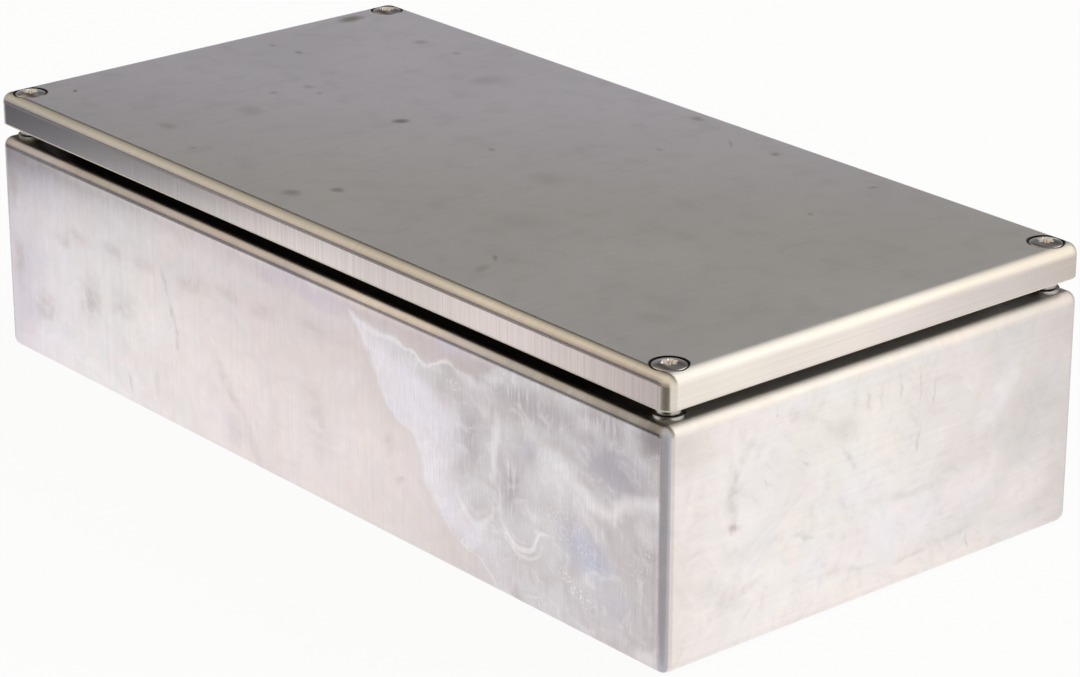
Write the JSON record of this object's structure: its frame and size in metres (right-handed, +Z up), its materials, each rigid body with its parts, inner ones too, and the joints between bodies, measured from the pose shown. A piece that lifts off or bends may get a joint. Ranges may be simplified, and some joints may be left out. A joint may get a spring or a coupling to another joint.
{
  "type": "terminal box",
  "caption": "Rectangular folded stainless steel terminal box with a lift-off screwed lid, foam seal, captive corner screws, inner terminal rail and earth studs.",
  "frame": {"origin": "centre of the underside of the box", "axes": "+X along the long side, +Y along the short side, +Z up through the lid"},
  "size_m": [0.3, 0.15, 0.082],
  "materials": {
    "box_steel": "brushed and smeared",
    "lid_steel": "brushed",
    "fastener_steel": "plain",
    "screw_steel": "bright",
    "collar_steel": "turned",
    "rail_steel": "plated",
    "seal_foam": "matt foam"
  },
  "bodies": {
    "box": {"box_body": "box_steel", "rivet_nuts": "fastener_steel", "rail_posts": "fastener_steel", "terminal_rail": "rail_steel", "rail_washers": "fastener_steel", "rail_screws": "fastener_steel", "earth_stud": "fastener_steel", "earth_washer": "fastener_steel", "earth_lock_washer": "fastener_steel", "earth_nut": "fastener_steel"},
    "lid": {"lid_pan": "lid_steel", "foam_seal": "seal_foam", "lid_earth_stud": "fastener_steel", "lid_earth_washer": "fastener_steel", "lid_earth_lock_washer": "fastener_steel", "lid_earth_nut": "fastener_steel"},
    "collar_front_right": {"collar_front_right": "collar_steel"},
    "screw_front_right": {"screw_front_right": "screw_steel"},
    "collar_front_left": {"collar_front_left": "collar_steel"},
    "screw_front_left": {"screw_front_left": "screw_steel"},
    "collar_back_right": {"collar_back_right": "collar_steel"},
    "screw_back_right": {"screw_back_right": "screw_steel"},
    "collar_back_left": {"collar_back_left": "collar_steel"},
    "screw_back_left": {"screw_back_left": "screw_steel"}
  },
  "joints": [
    {"name": "lid_lift", "type": "slide", "parent": "box", "child": "lid", "axis": [0, 0, 1], "range_m": [0, 0.1]},
    {"name": "front_right_rise", "type": "slide", "parent": "lid", "child": "collar_front_right", "axis": [0, 0, 1], "range_m": [0, 0.0052]},
    {"name": "front_right_turn", "type": "hinge", "parent": "collar_front_right", "child": "screw_front_right", "pos_m": [0.143, -0.068, 0.07], "axis": [0, 0, 1], "range_deg": [0, 2340]},
    {"name": "front_left_rise", "type": "slide", "parent": "lid", "child": "collar_front_left", "axis": [0, 0, 1], "range_m": [0, 0.0052]},
    {"name": "front_left_turn", "type": "hinge", "parent": "collar_front_left", "child": "screw_front_left", "pos_m": [-0.143, -0.068, 0.07], "axis": [0, 0, 1], "range_deg": [0, 2340]},
    {"name": "back_right_rise", "type": "slide", "parent": "lid", "child": "collar_back_right", "axis": [0, 0, 1], "range_m": [0, 0.0052]},
    {"name": "back_right_turn", "type": "hinge", "parent": "collar_back_right", "child": "screw_back_right", "pos_m": [0.143, 0.068, 0.07], "axis": [0, 0, 1], "range_deg": [0, 2340]},
    {"name": "back_left_rise", "type": "slide", "parent": "lid", "child": "collar_back_left", "axis": [0, 0, 1], "range_m": [0, 0.0052]},
    {"name": "back_left_turn", "type": "hinge", "parent": "collar_back_left", "child": "screw_back_left", "pos_m": [-0.143, 0.068, 0.07], "axis": [0, 0, 1], "range_deg": [0, 2340]}
  ],
  "couplings": [
    {"joint": "front_right_turn", "follows": "front_right_rise", "rad_per_m": 7853.9},
    {"joint": "front_left_turn", "follows": "front_left_rise", "rad_per_m": 7853.9},
    {"joint": "back_right_turn", "follows": "back_right_rise", "rad_per_m": 7853.9},
    {"joint": "back_left_turn", "follows": "back_left_rise", "rad_per_m": 7853.9}
  ]
}
